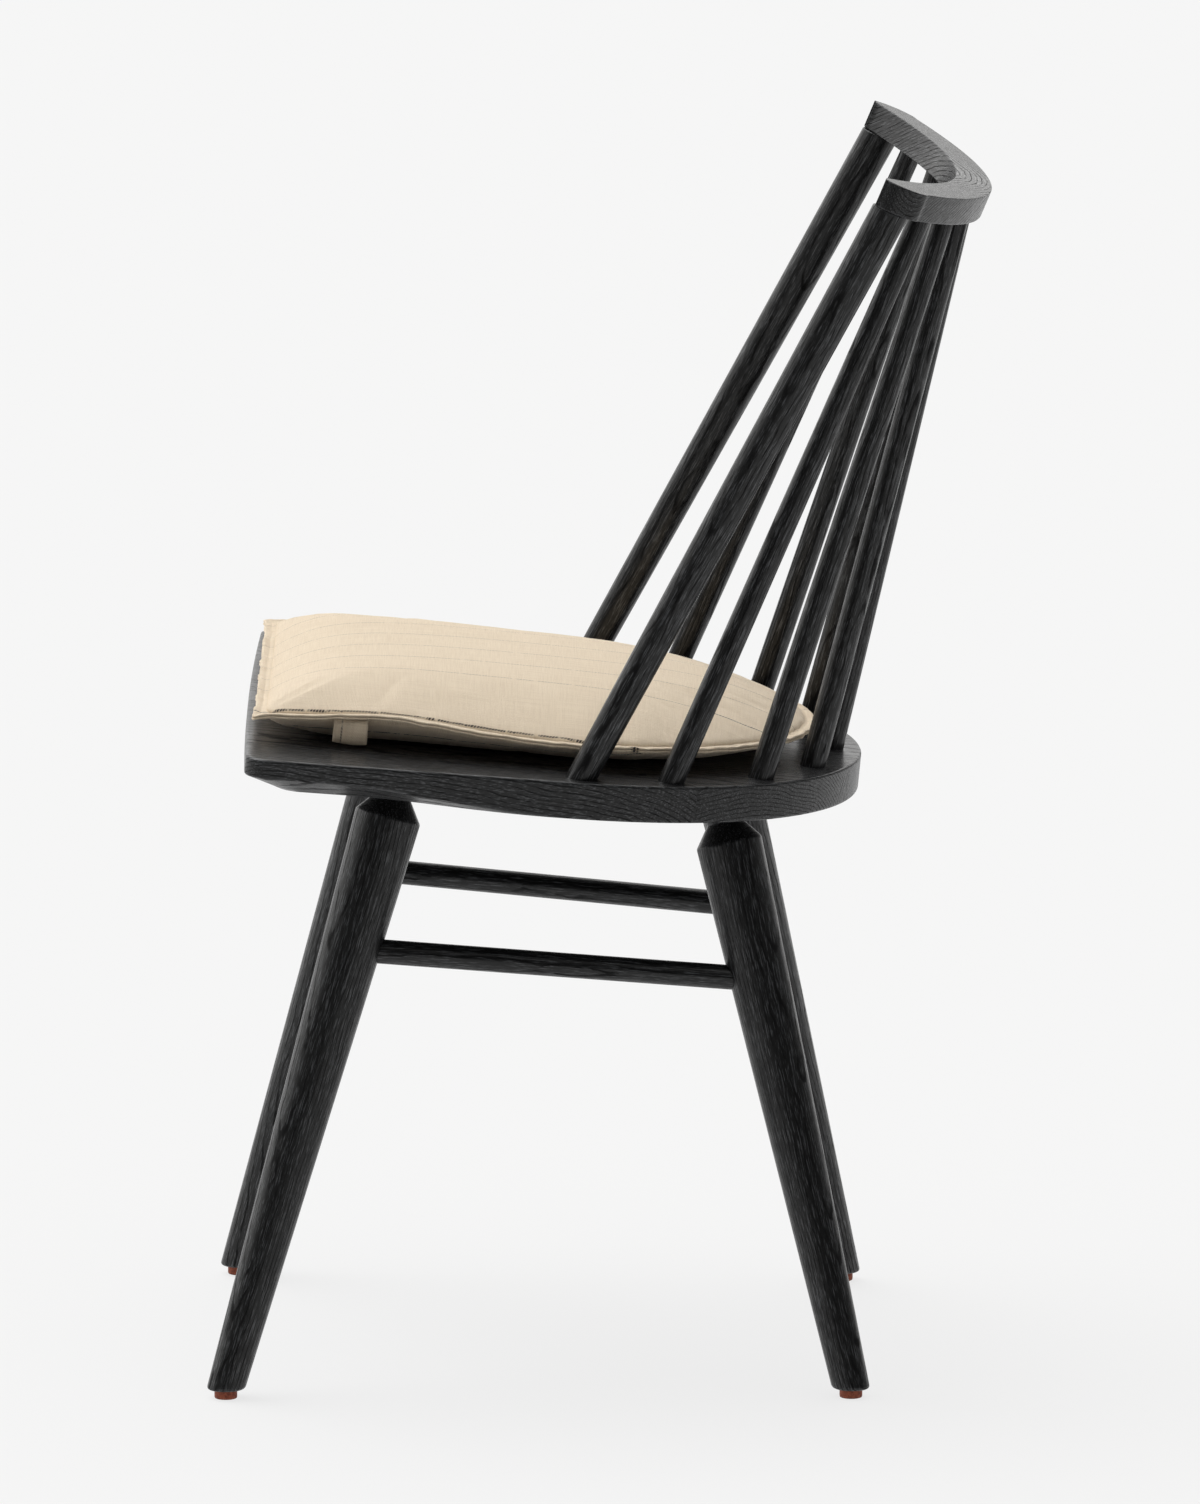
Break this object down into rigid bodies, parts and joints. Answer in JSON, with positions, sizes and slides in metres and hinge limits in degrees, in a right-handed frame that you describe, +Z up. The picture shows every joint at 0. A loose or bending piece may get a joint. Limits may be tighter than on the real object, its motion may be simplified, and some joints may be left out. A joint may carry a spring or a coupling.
{
  "type": "stick-back side chair",
  "caption": "Armless stick-back chair: plank seat on splayed turned legs, fan of uprights under a crescent crest rail, loose linen cushion.",
  "frame": {"origin": "centre of the chair's bounding box, on the floor", "axes": "+Z up, front of the chair towards -Y; left and right in the node names are as seen from in front, so right is +X; the chair is mirrored about the plane x = 0 except for the cushion's loop"},
  "size_m": [0.5128, 0.5448, 0.8608],
  "materials": {
    "black_oak": "open-grained oak stained black, satin lacquer",
    "glide_rubber": "rust-brown, matt",
    "screw_steel": "plain zinc-plated",
    "linen": "coarse undyed linen with thin dark woven stripes",
    "wadding": "white polyester wadding"
  },
  "bodies": {
    "root": {"back_post_left": "black_oak", "back_post_right": "black_oak", "crest_rail": "black_oak", "cushion_bottom_panel": "linen", "cushion_filling": "wadding", "cushion_side_loop": "linen", "cushion_top_panel": "linen", "glide_front_left": "glide_rubber", "glide_front_right": "glide_rubber", "glide_rear_left": "glide_rubber", "glide_rear_right": "glide_rubber", "glide_screw_front_left": "screw_steel", "glide_screw_front_right": "screw_steel", "glide_screw_rear_left": "screw_steel", "glide_screw_rear_right": "screw_steel", "leg_front_left": "black_oak", "leg_front_right": "black_oak", "leg_rear_left": "black_oak", "leg_rear_right": "black_oak", "seat_board_centre": "black_oak", "seat_board_inner_left": "black_oak", "seat_board_inner_right": "black_oak", "seat_board_outer_left": "black_oak", "seat_board_outer_right": "black_oak", "side_stretcher_left": "black_oak", "side_stretcher_right": "black_oak", "spindle_centre": "black_oak", "spindle_left_1": "black_oak", "spindle_left_2": "black_oak", "spindle_left_3": "black_oak", "spindle_right_1": "black_oak", "spindle_right_2": "black_oak", "spindle_right_3": "black_oak"}
  },
  "joints": []
}
